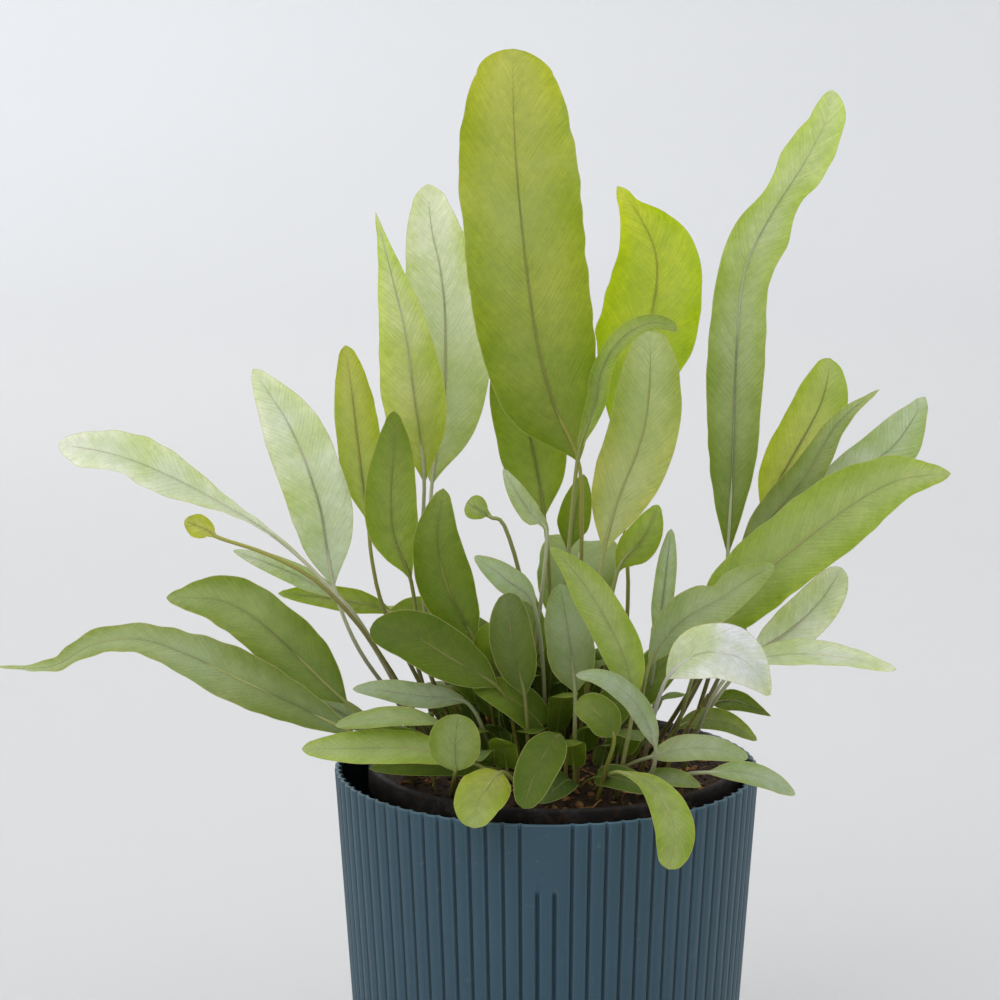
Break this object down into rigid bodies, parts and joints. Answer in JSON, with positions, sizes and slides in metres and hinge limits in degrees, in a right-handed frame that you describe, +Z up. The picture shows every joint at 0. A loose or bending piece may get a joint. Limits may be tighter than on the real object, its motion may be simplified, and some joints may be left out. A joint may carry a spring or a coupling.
{
  "type": "potted fern",
  "caption": "Fern with long undivided fronds, planted in a nursery pot that stands inside a ribbed round cover pot.",
  "frame": {"origin": "centre of the cover pot's underside, on the surface that it stands on", "axes": "+Z up along the cover pot's axis; -Y towards the side with the plain panel; +X to the right seen from that side"},
  "size_m": [0.3081, 0.1868, 0.3641],
  "materials": {
    "cover_pot": "satin moulded plastic, slate blue",
    "nursery_pot": "thin dark grey-brown plastic",
    "potting_mix": "moist bark and peat mix",
    "rhizome": "scaly creeping stem",
    "twig": "dry old stalk",
    "frond_olive": "soft leaf with a waxy bloom",
    "frond_bright": "soft leaf with a waxy bloom",
    "frond_pale": "soft leaf with a waxy bloom",
    "frond_blue": "soft leaf with a waxy bloom",
    "frond_yellow": "soft leaf with a waxy bloom"
  },
  "bodies": {
    "root": {"cover_pot": "cover_pot", "nursery_pot": "nursery_pot", "potting_mix": "potting_mix", "rhizome": "rhizome", "twig": "twig", "frond_tall_centre": "frond_olive", "frond_behind_centre": "frond_olive", "frond_tall_right_centre": "frond_yellow", "frond_front_centre": "frond_pale", "frond_arching_thin": "frond_yellow", "frond_tall_right": "frond_yellow", "frond_right_behind": "frond_olive", "frond_folded_right": "frond_blue", "frond_far_right_pale": "frond_blue", "frond_large_right": "frond_olive", "frond_under_right": "frond_pale", "frond_curled_pale": "frond_pale", "frond_right_front": "frond_blue", "frond_flat_right": "frond_pale", "frond_tall_left_centre": "frond_pale", "frond_tall_left": "frond_yellow", "frond_left_narrow": "frond_olive", "frond_front_left_bright": "frond_bright", "frond_left_pale": "frond_pale", "frond_far_left": "frond_pale", "frond_young_left": "frond_yellow", "frond_thin_left": "frond_pale", "frond_mid_left": "frond_pale", "frond_low_left": "frond_pale", "frond_low_left_short": "frond_blue", "frond_rim_left": "frond_olive", "frond_rim_left_pale": "frond_pale", "frond_centre_left_pale": "frond_blue", "frond_round_front": "frond_blue", "frond_rim_bright": "frond_bright", "frond_rim_front": "frond_olive", "frond_rim_right_hanging": "frond_bright", "frond_rim_right_pale": "frond_pale", "frond_rim_right_low": "frond_blue", "frond_right_back_dark": "frond_olive", "frond_right_arched_dark": "frond_olive", "frond_front_arching": "frond_bright", "frond_front_grey": "frond_blue", "frond_front_strip": "frond_pale", "frond_wavy_olive": "frond_olive", "frond_broad_olive": "frond_olive", "frond_back_left_bright": "frond_bright", "frond_centre_blue": "frond_blue", "frond_centre_grey": "frond_blue", "frond_dark_upright": "frond_olive", "frond_small_pale": "frond_pale", "frond_tiny_fan": "frond_yellow", "frond_narrow_blue": "frond_blue", "frond_light_green": "frond_bright", "frond_front_small": "frond_olive", "frond_back_left": "frond_olive", "frond_back_centre": "frond_pale", "frond_back_right": "frond_blue", "frond_back_far_left": "frond_olive", "frond_back_far_right": "frond_olive"}
  },
  "joints": []
}
